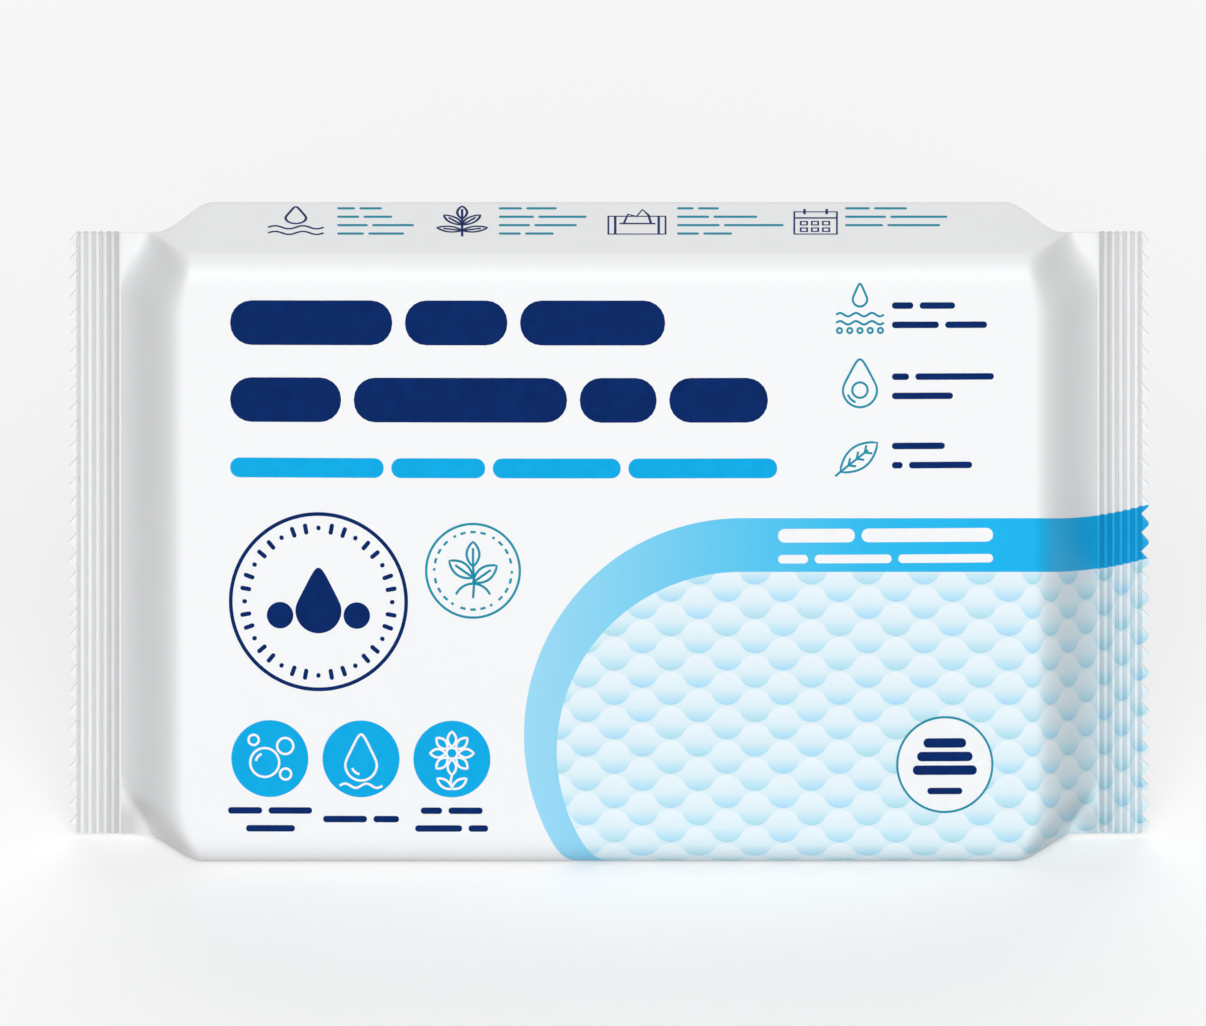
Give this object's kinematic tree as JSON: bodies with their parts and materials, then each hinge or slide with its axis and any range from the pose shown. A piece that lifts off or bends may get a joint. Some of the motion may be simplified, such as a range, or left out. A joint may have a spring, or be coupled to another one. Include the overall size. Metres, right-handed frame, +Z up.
{
  "type": "wet wipes pack",
  "caption": "Sealed flow-wrapped film pack of large moist wipes, box-shaped with tapered ends, crimped saw-toothed end seals and a folded seal along its back.",
  "frame": {"origin": "middle of the bounding box in X and Y, at the height of the lower long side that the pack stands on", "axes": "+X along the pack's length from seal to seal, -Y towards the printed front panel, +Z up"},
  "size_m": [0.253, 0.0476, 0.152],
  "materials": {
    "film": "white satin laminate film, printed, heat sealed",
    "print_navy": "navy ink on film",
    "print_sky": "sky blue ink on film",
    "print_teal": "teal ink on film",
    "print_white": "white ink on film"
  },
  "bodies": {
    "root": {"wipes_pack": "film"}
  },
  "joints": []
}
